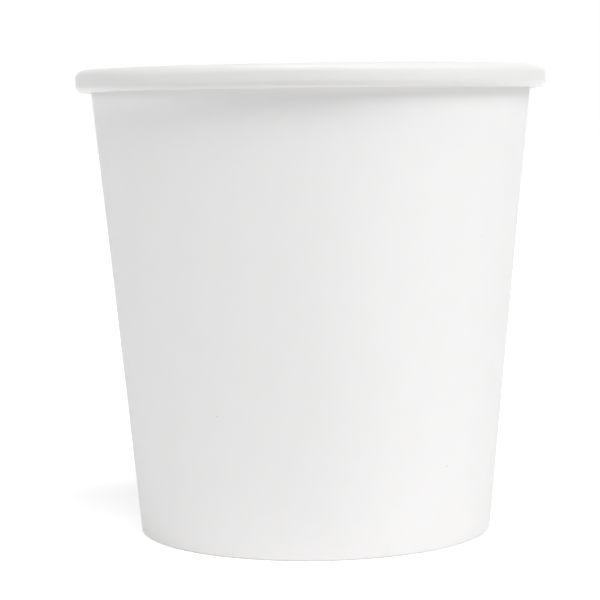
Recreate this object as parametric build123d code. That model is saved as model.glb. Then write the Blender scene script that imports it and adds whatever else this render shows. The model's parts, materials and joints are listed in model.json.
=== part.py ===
"""Small single-wall paper coffee cup, in millimetres, +Z up.

Two pieces of board make the cup. The sidewall is one fan-shaped blank that is wrapped into
a cone and sealed to itself along a lap seam, rolled outwards at the top into a rim and turned
inwards at the bottom into a hem. The base disc is a round blank whose edge is drawn down into
a skirt, and the skirt is sealed between the sidewall and its hem.
The origin is the centre of the base, on the surface that the cup stands on. The seam is at +Y.
"""

import math
import os

from build123d import *

# Outside of the cup
rim_diameter = 62.0
base_diameter = 46.8
cup_height = 61.3

# Board
wall_board = 0.28
disc_board = 0.25
seal_film = 0.02

# Rolled rim: bends are measured on the innermost layer of the lap seam
rim_bend = 0.37
rim_side = 1.06
rim_floor = 0.18
tail_bend = 0.05
tail_length = 0.70
tail_clearance = 0.05

# Base
recess_depth = 5.5
disc_bend = 0.30
hem_bend = 0.05
hem_clearance = 0.40
skirt_clearance = 0.30

# Lap seam, measured around the middle of the wall
seam_lap = 6.0
seam_ramp = 1.2
seam_azimuth = 90.0

# Flats that a bend is drawn with: they touch its true arc and stay within 0.05 mm of it
rim_flats = 2
crease_flats = 1

# Radii of the rolled rim, on the face of the board that ends up outside
seam_board = 2 * wall_board
rim_corner = rim_bend + seam_board
tail_corner = tail_bend + seam_board
rim_height = rim_side + 2 * rim_corner
rim_overhang = wall_board + tail_clearance + tail_corner + rim_floor + rim_corner

# The cone of the wall
rim_radius = rim_diameter / 2
base_radius = base_diameter / 2
under_rim = cup_height - rim_height
wall_slope = (rim_radius - rim_overhang - base_radius) / under_rim
slant = math.hypot(1, wall_slope)
middle_radius = base_radius + wall_slope * cup_height / 2


def on_wall(inset, height):
    """Point of the section on the cone that lies a given inset inside the wall's outer face."""
    return (base_radius + wall_slope * height - inset * slant, height)


def with_flats(line, flats):
    """The line with each of its bends drawn as flats, so that every face of the board is a plain band."""
    points = [line @ 0]
    for bend, count in zip(line.edges().filter_by(GeomType.CIRCLE), flats):
        centre = bend.arc_center
        corners = count + 1
        half_turn = bend.length / bend.radius / corners / 2
        for corner in range(corners):
            spoke = bend @ ((corner + 0.5) / corners) - centre
            points.append(centre + spoke / math.cos(half_turn))
    return Polyline(*points, line @ 1)


def sidewall_line(depth):
    """The sidewall board's line at a given depth from its drink side, from the hem to the rim's tail."""
    hem = wall_board + disc_board + 2 * seal_film + depth
    hem_floor = wall_board - depth
    hem_top = recess_depth - disc_bend - hem_clearance
    wall = wall_board - depth
    rim_top = cup_height - depth
    rim_side_radius = rim_radius - depth
    rim_underside = under_rim + depth
    tail = -wall_board - tail_clearance - depth
    tail_top = under_rim + tail_corner + tail_length
    corners = [
        on_wall(hem, hem_top),
        on_wall(hem, hem_floor),
        on_wall(wall, hem_floor),
        on_wall(wall, rim_top),
        (rim_side_radius, rim_top),
        (rim_side_radius, rim_underside),
        on_wall(tail, rim_underside),
        on_wall(tail, tail_top),
    ]
    hem_radius = hem_bend + depth
    rim_turn = rim_corner - depth
    turns = [hem_radius, hem_radius, rim_turn, rim_turn, rim_turn, tail_corner - depth]
    flats = [crease_flats] * 2 + [rim_flats] * 3 + [crease_flats]
    return with_flats(FilletPolyline(*corners, radius=turns), flats)


def board_section(near, far):
    """Face between two lines of a board, closed by its two cut edges and stood up in the XZ plane."""
    cut_edges = [Line(near @ 0, far @ 0), Line(near @ 1, far @ 1)]
    return Plane.XZ * make_face([near, far, *cut_edges])


def sidewall():
    """The wrapped, lapped, rolled and hemmed sidewall board as one sheet."""
    drink_side, outside, over_lap = (sidewall_line(layer * wall_board) for layer in range(3))
    one_layer = board_section(drink_side, outside)
    upper_layer = board_section(outside, over_lap)
    both_layers = board_section(drink_side, over_lap)

    lap_angle = math.degrees(seam_lap / middle_radius)
    ramp_angle = math.degrees(seam_ramp / middle_radius)
    lap_start = 360 - lap_angle
    ramp_start = lap_start - ramp_angle

    ring = revolve(one_layer, Axis.Z, ramp_start)
    ramp = loft([Rot(Z=ramp_start) * one_layer, Rot(Z=lap_start) * upper_layer], ruled=True)
    lap = Rot(Z=lap_start) * revolve(both_layers, Axis.Z, lap_angle)
    sheet = ring + ramp + lap
    # The base edge is pressed level, the doubled board of the seam included.
    level = split(sheet, bisect_by=Plane.XY, keep=Keep.TOP)
    return Rot(Z=seam_azimuth + lap_angle / 2) * level


def base_disc_line(depth):
    """The base board's line at a given depth from its drink side, from the axis to the skirt's edge."""
    skirt = wall_board + seal_film + depth
    skirt_end = wall_board + skirt_clearance
    face = recess_depth + disc_board - depth
    corners = [(0, face), on_wall(skirt, face), on_wall(skirt, skirt_end)]
    line = FilletPolyline(*corners, radius=disc_bend + disc_board - depth)
    return with_flats(line, [crease_flats])


def base_disc():
    """The round base board with its edge drawn down into a skirt."""
    return revolve(board_section(base_disc_line(0), base_disc_line(disc_board)), Axis.Z)


os.makedirs("parts", exist_ok=True)
for name, piece in {"sidewall": sidewall(), "base_disc": base_disc()}.items():
    export_step(piece, f"parts/{name}.step")
    print(f"{name}: {piece.volume:.1f} mm3, {piece.bounding_box().size}")
taper = math.degrees(math.atan(wall_slope))
print(f"rim {rim_height:.2f} high and {rim_overhang:.2f} past the wall, wall leaning {taper:.2f} degrees")
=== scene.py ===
# %% [markdown]
# # A small paper coffee cup
# The cup is folded from two pieces of board. The sidewall is wrapped into a cone, lapped along a
# seam, rolled outwards at the top and hemmed at the bottom, and the base disc hangs in the hem by
# its skirt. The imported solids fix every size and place, but they draw each bend with a few flats.
# So both boards are modelled again here with round bends, and then they get the paper that they are
# made of.

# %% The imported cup
import json
import math

import bmesh
import bpy
from mathutils import Matrix, Vector


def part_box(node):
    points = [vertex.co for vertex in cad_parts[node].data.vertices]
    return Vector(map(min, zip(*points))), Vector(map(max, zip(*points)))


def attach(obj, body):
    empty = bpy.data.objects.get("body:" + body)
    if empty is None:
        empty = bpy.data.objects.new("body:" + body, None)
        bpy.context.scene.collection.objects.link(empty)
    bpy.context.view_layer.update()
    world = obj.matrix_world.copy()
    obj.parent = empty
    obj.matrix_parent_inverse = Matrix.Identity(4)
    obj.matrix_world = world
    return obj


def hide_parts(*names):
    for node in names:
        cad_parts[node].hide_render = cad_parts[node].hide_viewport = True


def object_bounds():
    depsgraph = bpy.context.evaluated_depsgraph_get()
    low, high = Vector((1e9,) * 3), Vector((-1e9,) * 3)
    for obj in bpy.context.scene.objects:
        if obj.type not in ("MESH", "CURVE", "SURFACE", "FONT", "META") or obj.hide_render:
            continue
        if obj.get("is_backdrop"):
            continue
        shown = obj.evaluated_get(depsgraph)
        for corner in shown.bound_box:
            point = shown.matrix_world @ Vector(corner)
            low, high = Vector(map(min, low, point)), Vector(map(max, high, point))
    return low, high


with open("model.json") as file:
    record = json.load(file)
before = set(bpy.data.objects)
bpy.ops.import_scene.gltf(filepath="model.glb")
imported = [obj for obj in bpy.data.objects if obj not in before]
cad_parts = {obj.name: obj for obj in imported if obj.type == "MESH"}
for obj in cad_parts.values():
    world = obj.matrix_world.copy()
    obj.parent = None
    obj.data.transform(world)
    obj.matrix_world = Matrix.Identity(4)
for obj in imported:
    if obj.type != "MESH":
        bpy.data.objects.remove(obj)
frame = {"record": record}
cad_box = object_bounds()
print("packed cup", [round(1000 * side, 2) for side in cad_box[1] - cad_box[0]], "mm")

# %% [markdown]
# ## Sizes
# The frame tells the cup's height, the radius of its rim and the height of its base disc. A box
# can't tell how thick the board is or how far the rim is rolled, so those sizes are named here, in
# metres. From them follows the slope of the wall, and a point can then be placed by how far it lies
# inside the wall's outer face.

# %% Sizes of the cup, its boards and its rim
mm = 0.001
lid_rim = next(mount for mount in frame["record"]["mounts"] if mount["name"] == "lid_rim")
rim_radius = lid_rim["dims"]["r_mm"] * mm
cup_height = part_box("sidewall")[1].z
disc_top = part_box("base_disc")[1].z
base_radius = 23.4 * mm

wall_board = 0.28 * mm
disc_board = 0.25 * mm
seal_film = 0.02 * mm

rim_height = 2.92 * mm
rim_overhang = 2.05 * mm
under_rim = cup_height - rim_height
wall_slope = (rim_radius - rim_overhang - base_radius) / under_rim
slant = math.hypot(1, wall_slope)


def on_wall(inset, height):
    """Point in the XZ plane that lies a given inset inside the wall's outer face."""
    return Vector((base_radius + wall_slope * height - inset * slant, 0, height))


wall_lean = math.degrees(math.atan(wall_slope))
print(f"rim {2000 * rim_radius:.1f} mm across, wall leaning {wall_lean:.2f} degrees")

# %% [markdown]
# ## The line that the sidewall follows
# Cut through the cup, the sidewall is one line of board: up the hem, round the foot, up the wall
# and round the rolled rim, with its cut edge tucked inside the roll. A curve object could draw that
# line, but a wire of a few vertices whose corners are bevelled stays closer to how it is made: each
# corner is a fold, and each fold has its own radius. The line is the board's drink side, which the
# roll turns to the outside of the rim, and its top outer corner is the roundest.

# %% A wire with rounded folds
fold_steps = 8


def folded_line(corners, bends):
    """Wire in the XZ plane through the corners, with every inner corner rounded to its bend."""
    wire = bmesh.new()
    verts = [wire.verts.new(corner) for corner in corners]
    for start, end in zip(verts, verts[1:]):
        wire.edges.new((start, end))
    folds = zip(corners, corners[1:], corners[2:])
    for vert, fold, bend in zip(verts[1:-1], folds, bends):
        before, corner, after = fold
        turn = (corner - before).angle(after - corner)
        bmesh.ops.bevel(
            wire, geom=[vert], offset=bend * math.tan(turn / 2), offset_type="OFFSET", affect="VERTICES",
            segments=fold_steps, profile=0.5, material=-1,
        )
    return wire


hem_inset = wall_board + disc_board + 2 * seal_film
hem_top = 4.8 * mm
hem_bend = 0.05 * mm
rim_bend = 0.93 * mm
rim_shoulder = 1.1 * mm
tail_bend = 0.61 * mm
tail_clearance = 0.05 * mm
tail_inset = -wall_board - tail_clearance
tail_rise = 1.31 * mm
tail_top = under_rim + tail_rise

sidewall_corners = [
    on_wall(hem_inset, hem_top),
    on_wall(hem_inset, wall_board),
    on_wall(wall_board, wall_board),
    on_wall(wall_board, cup_height),
    Vector((rim_radius, 0, cup_height)),
    Vector((rim_radius, 0, under_rim)),
    on_wall(tail_inset, under_rim),
    on_wall(tail_inset, tail_top),
]
sidewall_bends = [hem_bend, hem_bend, rim_bend, rim_shoulder, rim_bend, tail_bend]
sidewall_sheet = folded_line(sidewall_corners, sidewall_bends)
print("sidewall line", len(sidewall_sheet.verts), "points")

# %% [markdown]
# The wall and the hem are straight in this line, so they are single long edges. They are divided
# into rows, which gives the knurl of the hem something to move, and keeps the faces of the wall
# from being long slivers.

# %% Rows on the hem and the wall
row_height = 2.5 * mm
hem_row = 0.4 * mm
straight_edges = [edge for edge in sidewall_sheet.edges if edge.calc_length() > row_height]
for edge in straight_edges:
    length = edge.calc_length()
    row = hem_row if length < 2 * hem_top else row_height
    bmesh.ops.subdivide_edges(sidewall_sheet, edges=[edge], cuts=int(length / row))
print("sidewall line with rows", len(sidewall_sheet.verts), "points")

# %% [markdown]
# ## Wrapping the sidewall
# A real sidewall is a flat blank that is wrapped round a cone until its ends overlap. Spin does the
# same: it turns the line about the cup's axis. A Screw modifier could turn it too, but it can't stop
# on the way to lift the board onto itself. The turn starts at the end that lies inside the seam and
# goes nearly all the way round. The seam faces +Y.

# %% Once round the cup
axis_up = (0, 0, 1)
centre = (0, 0, 0)
turn_steps = 432
step_angle = 2 * math.pi / turn_steps
middle_radius = base_radius + wall_slope * cup_height / 2
seam_lap = 6.0 * mm
lap_steps = round(seam_lap / middle_radius / step_angle)
ramp_steps = 3
seam_azimuth = math.pi / 2


def spin_on(sheet, edge_of_sheet, steps):
    """Turns an edge of the sheet about the cup's axis and gives the sheet's new edge."""
    swept = bmesh.ops.spin(
        sheet, geom=edge_of_sheet, cent=centre, axis=axis_up, dvec=(0, 0, 0),
        angle=steps * step_angle, steps=steps, use_merge=False, use_duplicate=False,
    )
    return swept["geom_last"]


under_end = Matrix.Rotation(seam_azimuth - lap_steps * step_angle / 2, 3, "Z")
bmesh.ops.rotate(sidewall_sheet, cent=centre, matrix=under_end, verts=sidewall_sheet.verts[:])
whole_line = sidewall_sheet.verts[:] + sidewall_sheet.edges[:]
sheet_edge = spin_on(sidewall_sheet, whole_line, turn_steps - ramp_steps)
bmesh.ops.recalc_face_normals(sidewall_sheet, faces=sidewall_sheet.faces[:])
turned_once = set(sidewall_sheet.faces)
print("sidewall sheet", len(turned_once), "faces before the seam")

# %% [markdown]
# Where its two ends meet, the board climbs onto itself. The sheet goes on in single steps of spin,
# and each step moves its edge further away from the drink side, until it has cleared the first
# layer and the film that seals it. The last part then lies on top of the first.

# %% A ramp and the lap
lift = (wall_board + seal_film) / ramp_steps
for _ in range(ramp_steps):
    sheet_edge = spin_on(sidewall_sheet, sheet_edge, 1)
    sidewall_sheet.normal_update()
    for vert in [part for part in sheet_edge if isinstance(part, bmesh.types.BMVert)]:
        vert.co -= lift * vert.normal
spin_on(sidewall_sheet, sheet_edge, lap_steps)
lap_faces = [face for face in sidewall_sheet.faces if face not in turned_once]
print("sidewall sheet", len(sidewall_sheet.faces), "faces, of them", len(lap_faces), "in the seam")

# %% [markdown]
# The foot of a real cup is pressed level, so the second layer of the seam doesn't reach under it.
# The far side of the board lies its thickness behind the sheet, against the normals. So the faces
# of the lap whose far side would reach below the table are deleted, and the lap ends just above it.

# %% The lap ends above the foot
table_tolerance = 0.001 * mm
sidewall_sheet.normal_update()


def far_side_height(face):
    """Height of the lowest corner that a face will have on the far side of the board."""
    return min((vert.co - wall_board * vert.normal).z for vert in face.verts)


below_table = [face for face in lap_faces if far_side_height(face) < -table_tolerance]
bmesh.ops.delete(sidewall_sheet, geom=below_table, context="FACES")
print("faces cut from the foot of the lap", len(below_table))

# %% [markdown]
# ## The knurl of the hem
# The hem is sealed onto the skirt by a toothed wheel, which leaves a ring of upright marks inside
# the foot. They could be a bump in the material, but they are a real shape, so the vertices of the
# hem are moved: a mark stays where the wheel pressed, and the board between two marks stands a
# little towards the axis.

# %% Marks of the sealing wheel
knurl_count = 72
knurl_depth = 0.09 * mm
knurl_low = 0.9 * mm
knurl_high = 4.0 * mm
knurl_fade = 0.4 * mm


def eased(value):
    """Value limited to 0 and 1, with a soft start and end."""
    limited = min(max(value, 0), 1)
    return limited * limited * (3 - 2 * limited)


hem_verts = []
for vert in sidewall_sheet.verts:
    inset = (base_radius + wall_slope * vert.co.z - vert.co.xy.length) / slant
    if inset > hem_inset - seal_film and vert.co.z < hem_top + seal_film:
        hem_verts.append(vert)
for vert in hem_verts:
    band = eased((vert.co.z - knurl_low) / knurl_fade) * eased((knurl_high - vert.co.z) / knurl_fade)
    tooth = 0.5 - 0.5 * math.cos(knurl_count * math.atan2(vert.co.y, vert.co.x))
    radius = vert.co.xy.length
    vert.co.xy *= (radius - knurl_depth * band * tooth) / radius
print("hem vertices", len(hem_verts))

# %% [markdown]
# ## Thickness and cut edges
# So far the sidewall is a skin without thickness. The solidify operator adds the other face of the
# board, away from the drink, and closes the cut edges. A Solidify modifier could do that too, but
# the operator keeps the skin's own faces and returns the new ones, so each side can have its own
# finish: the film on the drink side, the bare board outside and the raw edge where the blank was
# cut.

# %% From a skin to a board
drink_side, bare_side, cut_edge = range(3)
sharp_edge = math.radians(40)


def board_piece(name, sheet, thickness):
    """Object of a board with the given thickness behind the sheet's drink side."""
    skin = set(sheet.faces)
    made = bmesh.ops.solidify(sheet, geom=sheet.faces[:], thickness=thickness)
    backs = {part for part in made["geom"] if isinstance(part, bmesh.types.BMFace)}
    for face in sheet.faces:
        face.smooth = True
        if face in skin:
            face.material_index = drink_side
        elif face in backs:
            face.material_index = bare_side
        else:
            face.material_index = cut_edge
    mesh = bpy.data.meshes.new(name)
    sheet.to_mesh(mesh)
    sheet.free()
    mesh.set_sharp_from_angle(angle=sharp_edge)
    piece = bpy.data.objects.new(name, mesh)
    bpy.context.scene.collection.objects.link(piece)
    print(name, len(mesh.polygons), "faces", [round(1000 * side, 2) for side in piece.dimensions], "mm")
    return piece


sidewall = board_piece("wrapped_sidewall", sidewall_sheet, wall_board)

# %% [markdown]
# ## The base disc
# The base is a round blank whose edge is drawn down into a skirt between the wall and the hem. A
# filled circle could be extruded down at its edge, but the corner is a fold as those of the sidewall
# are, so it is made as they are. The line runs from the axis to the corner and down the skirt. One
# full spin closes it, and merging the doubles joins the points on the axis into one pole.

# %% A disc with a skirt
skirt_inset = wall_board + seal_film
skirt_end = 0.58 * mm
disc_bend = 0.55 * mm
disc_turn_steps = turn_steps // 2
merge_distance = 0.001 * mm
disc_corners = [
    Vector((0, 0, disc_top)),
    on_wall(skirt_inset, disc_top),
    on_wall(skirt_inset, skirt_end),
]
disc_sheet = folded_line(disc_corners, [disc_bend])
disc_line = disc_sheet.verts[:] + disc_sheet.edges[:]
bmesh.ops.spin(
    disc_sheet, geom=disc_line, cent=centre, axis=axis_up, dvec=(0, 0, 0),
    angle=2 * math.pi, steps=disc_turn_steps, use_merge=True, use_duplicate=False,
)
bmesh.ops.remove_doubles(disc_sheet, verts=disc_sheet.verts[:], dist=merge_distance)
bmesh.ops.recalc_face_normals(disc_sheet, faces=disc_sheet.faces[:])
base_disc = board_piece("base_disc_with_skirt", disc_sheet, disc_board)

# %% [markdown]
# ## Paper
# Cup board is made of bleached wood fibre. Held to the light it is slightly cloudy, its surface is
# finely fibrous, and here and there a speck of bark or ink got into the pulp. The film, the bare
# board and the raw edge all show this, each in its own measure. Each could have its own nodes for
# it, but one node group that every finish uses is built once and stays the same in all. It reads
# the piece's own coordinates, so that the pattern stays on the board from any side.

# %% A group for the fibre of the board
fibre_group = bpy.data.node_groups.new("cup board fibre", "ShaderNodeTree")
for name, kind, value in (
    ("Paper", "NodeSocketColor", (0.8, 0.8, 0.8, 1)),
    ("Speck", "NodeSocketColor", (0.4, 0.36, 0.3, 1)),
    ("Clouds", "NodeSocketFloat", 0.03),
    ("Specks", "NodeSocketFloat", 0.5),
    ("Matt", "NodeSocketFloat", 0.7),
):
    fibre_group.interface.new_socket(name, in_out="INPUT", socket_type=kind).default_value = value
for name, kind in (
    ("Color", "NodeSocketColor"),
    ("Roughness", "NodeSocketFloat"),
    ("Height", "NodeSocketFloat"),
):
    fibre_group.interface.new_socket(name, in_out="OUTPUT", socket_type=kind)
asked = fibre_group.nodes.new("NodeGroupInput")
given = fibre_group.nodes.new("NodeGroupOutput")
place = fibre_group.nodes.new("ShaderNodeTexCoord").outputs["Object"]
print("group", fibre_group.name, "with", len(fibre_group.interface.items_tree), "sockets")

# %% [markdown]
# Pulp never lies quite evenly, which makes soft clouds, and its fibres lie across each other. A
# picture of paper could show both, but noise in space has no seams and no edge. Coarse noise makes
# the clouds, and fine noise the fibres.

# %% Clouds and fibres
def noise(scale, detail, roughness):
    """Socket with noise in space at the board's own coordinates."""
    texture = fibre_group.nodes.new("ShaderNodeTexNoise")
    texture.inputs["Scale"].default_value = scale
    texture.inputs["Detail"].default_value = detail
    texture.inputs["Roughness"].default_value = roughness
    fibre_group.links.new(place, texture.inputs["Vector"])
    return texture.outputs["Fac"]


clouds = noise(scale=260, detail=3, roughness=0.55)
fibres = noise(scale=4200, detail=2, roughness=0.6)
print("clouds and fibres", len(fibre_group.nodes), "nodes so far")

# %% [markdown]
# A cloud takes a little of the paper's lightness away, as much as the finish asks for. A colour ramp
# could give the clouds fixed colours, but a share of a tint lets every finish choose its own. Such
# sums and tints come again below, so each is a helper.

# %% Clouded paper
def calculated(tree, operation, *values):
    """Socket with the result of a Math node, whose inputs are sockets or plain numbers."""
    math_node = tree.nodes.new("ShaderNodeMath")
    math_node.operation = operation
    for socket, value in zip(math_node.inputs, values):
        if isinstance(value, bpy.types.NodeSocket):
            tree.links.new(value, socket)
        else:
            socket.default_value = value
    return math_node.outputs["Value"]


def tinted(colour, tint, share):
    """Socket with a colour of the board that has a share of the tint mixed into it."""
    mix = fibre_group.nodes.new("ShaderNodeMix")
    mix.data_type = "RGBA"
    fibre_group.links.new(share, mix.inputs["Factor"])
    fibre_group.links.new(colour, mix.inputs["A"])
    fibre_group.links.new(tint, mix.inputs["B"])
    return mix.outputs["Result"]


shade = calculated(fibre_group, "MULTIPLY", clouds, asked.outputs["Clouds"])
clouded = tinted(asked.outputs["Paper"], asked.outputs["Speck"], shade)
print("clouded paper", len(fibre_group.nodes), "nodes so far")

# %% [markdown]
# Specks are few, small and round. Noise would draw them ragged, so they are small balls that a
# Voronoi texture strews through space, one in each of its cells, and the board shows those that it
# cuts. The core and the edge of a ball are measured in cells.

# %% Specks
cells_per_metre = 160
speck_core = 0.01
speck_edge = 0.024
balls = fibre_group.nodes.new("ShaderNodeTexVoronoi")
balls.inputs["Scale"].default_value = cells_per_metre
fibre_group.links.new(place, balls.inputs["Vector"])
speck = fibre_group.nodes.new("ShaderNodeMapRange")
speck.interpolation_type = "SMOOTHSTEP"
speck.inputs["From Min"].default_value = speck_edge
speck.inputs["From Max"].default_value = speck_core
fibre_group.links.new(balls.outputs["Distance"], speck.inputs["Value"])
speck_share = calculated(fibre_group, "MULTIPLY", speck.outputs["Result"], asked.outputs["Specks"])
specked = tinted(clouded, asked.outputs["Speck"], speck_share)
fibre_group.links.new(specked, given.inputs["Color"])
print("specks", len(fibre_group.nodes), "nodes so far")

# %% [markdown]
# Board is a little more matt where its pulp is loose, so the clouds also change the roughness. The
# clouds and the fibres together are the height of its surface.

# %% Roughness and height
firm_matt = 0.85
loose_matt = 0.3
loose = calculated(fibre_group, "MULTIPLY_ADD", clouds, loose_matt, firm_matt)
matt = calculated(fibre_group, "MULTIPLY", loose, asked.outputs["Matt"])
rise = calculated(fibre_group, "ADD", clouds, fibres)
fibre_group.links.new(matt, given.inputs["Roughness"])
fibre_group.links.new(rise, given.inputs["Height"])
print("group", fibre_group.name, "with", len(fibre_group.nodes), "nodes")

# %% [markdown]
# ## Three finishes of one board
# The bare outside is matt. The drink side has a thin film of clear plastic: its gloss is a coat
# over the same board, and since the rim is rolled outwards, the film is what shines on the rim. Its
# paper is set darker than the bare board's, which is painted shade: it darkens the rolled rim and
# the shadow under it. A cut edge is raw fibre, rougher and a little creamier. Masks could tell the
# three apart in one material, but the faces are already sorted by side, so each finish is its own
# material with the shared group and its own values.

# %% Film, bare board and raw edge
fibre_height = 0.02 * mm


def board_finish(name, paper, clouds, specks, matt, fibre_bump, gloss, coat=0.0, coat_roughness=0.2):
    """Material of the cup's board with the shared fibre and its own gloss."""
    material = bpy.data.materials.new(name)
    material.use_nodes = True
    nodes, links = material.node_tree.nodes, material.node_tree.links
    shader = nodes["Principled BSDF"]
    fibre = nodes.new("ShaderNodeGroup")
    fibre.node_tree = fibre_group
    fibre.inputs["Paper"].default_value = (*paper, 1)
    fibre.inputs["Clouds"].default_value = clouds
    fibre.inputs["Specks"].default_value = specks
    fibre.inputs["Matt"].default_value = matt
    bump = nodes.new("ShaderNodeBump")
    bump.inputs["Strength"].default_value = fibre_bump
    bump.inputs["Distance"].default_value = fibre_height
    links.new(fibre.outputs["Color"], shader.inputs["Base Color"])
    links.new(fibre.outputs["Roughness"], shader.inputs["Roughness"])
    links.new(fibre.outputs["Height"], bump.inputs["Height"])
    links.new(bump.outputs["Normal"], shader.inputs["Normal"])
    shader.inputs["Specular IOR Level"].default_value = gloss
    shader.inputs["Coat Weight"].default_value = coat
    shader.inputs["Coat Roughness"].default_value = coat_roughness
    return material


# The film's paper is darker than the bare board's: painted shade on the rolled rim and under it.
shaded_film_side = board_finish(
    "film with painted shade on the drink side", paper=(0.795, 0.789, 0.786), clouds=0.03, specks=0.25, matt=0.55,
    fibre_bump=0.15, gloss=0.5, coat=0.15, coat_roughness=0.3,
)
bare_board = board_finish(
    "bare outside board", paper=(0.915, 0.907, 0.905), clouds=0.03, specks=0.35, matt=0.75,
    fibre_bump=0.3, gloss=0.3,
)
raw_edge = board_finish(
    "raw cut edge", paper=(0.84, 0.82, 0.78), clouds=0.08, specks=0.3, matt=0.9,
    fibre_bump=0.6, gloss=0.2,
)
for piece in (sidewall, base_disc):
    for finish in (shaded_film_side, bare_board, raw_edge):
        piece.data.materials.append(finish)
print("finishes", [finish.name for finish in sidewall.data.materials])

# %% [markdown]
# ## Both boards take the place of their solids
# The two boards are sealed together, so they ride on the cup's one body. Each stands for the solid
# of the same board, and that solid is hidden.

# %% Riding on the cup
stand_ins = ((sidewall, "sidewall", "cup_board"), (base_disc, "base_disc", "base_board"))
for piece, node, board_slot in stand_ins:
    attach(piece, "root")
    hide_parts(node)
    print(piece.name, "stands for", node)

# %% [markdown]
# ## Floor
# The cup stands on a plain white floor. A plain disc would do from above, but from below it would
# shut out the light. So the floor is a ring of two bridged circles. The foot covers the edge of its
# hole, which lets light into the recess under the base, and sinks a hundredth of a millimetre into
# the floor, so that its underside isn't black from below.

# %% A floor with a hole under the foot
floor_radius = 3.0
floor_segments = 96
foot_cover = 0.4 * mm
foot_sink = 0.01 * mm
hole_radius = base_radius - foot_cover
floor_level = Matrix.Translation((0, 0, foot_sink))
floor_sheet = bmesh.new()
for radius in (hole_radius, floor_radius):
    bmesh.ops.create_circle(
        floor_sheet, cap_ends=False, radius=radius, segments=floor_segments, matrix=floor_level,
    )
bmesh.ops.bridge_loops(floor_sheet, edges=floor_sheet.edges[:])
floor_sheet.normal_update()
facing_down = [face for face in floor_sheet.faces if face.normal.z < 0]
bmesh.ops.reverse_faces(floor_sheet, faces=facing_down)
floor_mesh = bpy.data.meshes.new("floor")
floor_sheet.to_mesh(floor_mesh)
floor_sheet.free()
floor = bpy.data.objects.new("floor", floor_mesh)
bpy.context.scene.collection.objects.link(floor)
floor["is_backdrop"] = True
print("floor", 2 * floor_radius, "m across,", len(floor_mesh.polygons), "faces")

# %% [markdown]
# The photograph's background is white, with no horizon. A backdrop that curves up behind the cup
# would hide the horizon. Here the floor glows for the camera alone instead: a little near the cup,
# where it keeps the cup's soft shadow, and fully further out, where it is as white as the
# background. It adds no light to the cup. A Light Path node tells what the camera sees, directly,
# in gloss or through glass.

# %% White paint that glows for the camera
glow_near_cup = 0.35
glow_starts = 40 * mm
glow_is_full = 150 * mm


def seen_by_camera(tree):
    """Socket that is 1 for what the camera sees, also in gloss or through glass, and else 0."""
    path = tree.nodes.new("ShaderNodeLightPath")
    seen = path.outputs["Is Camera Ray"]
    for ray in ("Is Glossy Ray", "Is Transmission Ray"):
        seen = calculated(tree, "MAXIMUM", seen, path.outputs[ray])
    return seen


floor_white = bpy.data.materials.new("white floor")
floor_white.use_nodes = True
floor_mesh.materials.append(floor_white)
floor_tree = floor_white.node_tree
paint = floor_tree.nodes["Principled BSDF"]
paint.inputs["Base Color"].default_value = (0.95, 0.95, 0.95, 1)
paint.inputs["Roughness"].default_value = 1.0
paint.inputs["Specular IOR Level"].default_value = 0.0
paint.inputs["Emission Color"].default_value = (1, 1, 1, 1)
spot = floor_tree.nodes.new("ShaderNodeTexCoord")
from_cup = floor_tree.nodes.new("ShaderNodeVectorMath")
from_cup.operation = "LENGTH"
floor_tree.links.new(spot.outputs["Object"], from_cup.inputs[0])
glow = floor_tree.nodes.new("ShaderNodeMapRange")
glow.interpolation_type = "SMOOTHSTEP"
glow.inputs["From Min"].default_value = glow_starts
glow.inputs["From Max"].default_value = glow_is_full
glow.inputs["To Min"].default_value = glow_near_cup
glow.inputs["To Max"].default_value = 1.0
floor_tree.links.new(from_cup.outputs["Value"], glow.inputs["Value"])
glow_seen = calculated(floor_tree, "MULTIPLY", seen_by_camera(floor_tree), glow.outputs["Result"])
floor_tree.links.new(glow_seen, paint.inputs["Emission Strength"])
print("floor paint", floor_white.name, "with", len(floor_tree.nodes), "nodes")

# %% [markdown]
# A floor would hide the cup from a camera below it. Its faces look up, so the back of a face is what
# such a camera sees, and there the paint is exchanged for clear.

# %% Clear from below
side = floor_tree.nodes.new("ShaderNodeNewGeometry")
clear = floor_tree.nodes.new("ShaderNodeBsdfTransparent")
from_below = floor_tree.nodes.new("ShaderNodeMixShader")
floor_tree.links.new(side.outputs["Backfacing"], from_below.inputs["Fac"])
floor_tree.links.new(paint.outputs["BSDF"], from_below.inputs[1])
floor_tree.links.new(clear.outputs["BSDF"], from_below.inputs[2])
floor_tree.links.new(from_below.outputs["Shader"], floor_tree.nodes["Material Output"].inputs["Surface"])
print("floor material", floor_white.name, "with", len(floor_tree.nodes), "nodes")

# %% [markdown]
# ## Light
# In the photograph the cup is brightest on its right and the top of its rim, the shadow under the
# rim is soft and deepest in front, and the left side is an even light grey. A sky alone would light
# every side alike, so it is only a weak fill. It is white for the camera and for reflections, and
# dimmer where it lights the cup. The Standard view shows a colour about as it is written.

# %% A weak sky
sky_fill = 0.16
world = bpy.data.worlds.new("white surroundings")
bpy.context.scene.world = world
world.use_nodes = True
sky_tree = world.node_tree
background = sky_tree.nodes["Background"]
background.inputs["Color"].default_value = (1, 1, 1, 1)
strength = sky_tree.nodes.new("ShaderNodeMapRange")
strength.inputs["To Min"].default_value = sky_fill
strength.inputs["To Max"].default_value = 1.0
sky_tree.links.new(seen_by_camera(sky_tree), strength.inputs["Value"])
sky_tree.links.new(strength.outputs["Result"], background.inputs["Strength"])
bpy.context.scene.view_settings.view_transform = "Standard"
print("sky", world.name, "lights with", sky_fill)

# %% [markdown]
# The shape of the cup comes from one softbox high in front on the right, helped by one overhead and
# one on each side. Two more are for the sides that the photograph doesn't show. One stands behind
# the cup, to one side of the seam, so that the lap's edge draws a fine line of shadow. It gives no
# gloss, which would burn out the end of the rim. The other is under the floor, and its light comes
# up through the hole.

# %% Softboxes round the cup
lamp_distance = 0.9
lamp_size = 0.4


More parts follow.
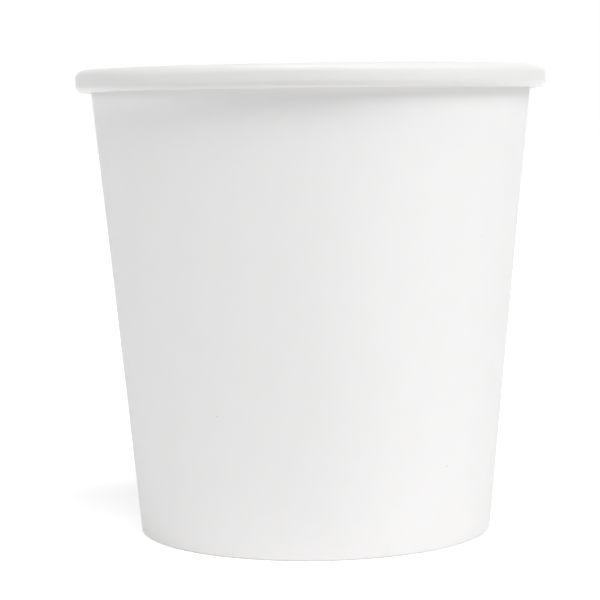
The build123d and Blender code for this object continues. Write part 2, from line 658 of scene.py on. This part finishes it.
def soft_lamp(name, azimuth, elevation, power):
    """Square lamp that looks at the middle of the cup, from azimuth 0 in front, growing to the right."""
    lamp = bpy.data.lights.new(name, "AREA")
    lamp.size = lamp_size
    lamp.energy = power
    holder = bpy.data.objects.new(name, lamp)
    bpy.context.scene.collection.objects.link(holder)
    turn = math.radians(azimuth)
    tilt = math.radians(elevation)
    away = Vector((math.sin(turn) * math.cos(tilt), -math.cos(turn) * math.cos(tilt), math.sin(tilt)))
    holder.location = Vector((0, 0, cup_height / 2)) + lamp_distance * away
    holder.rotation_euler = away.to_track_quat("Z", "Y").to_euler()
    print(name, [round(part, 3) for part in holder.location], power, "W")
    return holder


soft_lamp("softbox high in front on the right", azimuth=40, elevation=46, power=2.7)
soft_lamp("softbox overhead", azimuth=-12, elevation=70, power=3.35)
soft_lamp("softbox on the right", azimuth=75, elevation=35, power=1.85)
soft_lamp("softbox on the left", azimuth=-80, elevation=25, power=1.65)
behind = soft_lamp("softbox behind on the right", azimuth=160, elevation=15, power=1.7)
behind.visible_glossy = False
soft_lamp("softbox under the floor", azimuth=0, elevation=-90, power=5.0)

# %% [markdown]
# ## Camera
# The photograph was taken with a long lens from just under the height of the rim, which hides the
# inside of the cup, bows the rim upwards and bows the foot downwards. The camera stands in front,
# looks slightly down and to the left of the cup, and is a little rolled. These values follow from
# the outline of the cup in the photograph.

# %% The photograph's view
camera_distance = 274.9 * mm
camera_height = 54.94 * mm
look_down = math.radians(5.083)
look_left = math.radians(0.365)
roll = math.radians(-0.753)
lens = bpy.data.cameras.new("camera")
lens.sensor_width = 36.0
lens.lens = 123.6
lens.clip_start = 1 * mm
camera = bpy.data.objects.new("camera", lens)
bpy.context.scene.collection.objects.link(camera)
camera.location = (0, -camera_distance, camera_height)
aim = Matrix.Rotation(look_left, 3, "Z") @ Matrix.Rotation(math.pi / 2 - look_down, 3, "X")
camera.rotation_euler = (aim @ Matrix.Rotation(roll, 3, "Z")).to_euler()
bpy.context.scene.camera = camera
print("camera", [round(1000 * part, 1) for part in camera.location], "mm, lens", lens.lens, "mm")

# %% [markdown]
# ## Sizes at the end
# The boxes of the imported cup and of the modelled boards are printed side by side.

# %% Sizes to compare, and the end
boxes = {"cad": cad_box, "visual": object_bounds()}
for name, box in boxes.items():
    print(name, "box", [round(1000 * side, 3) for side in box[1] - box[0]], "mm")
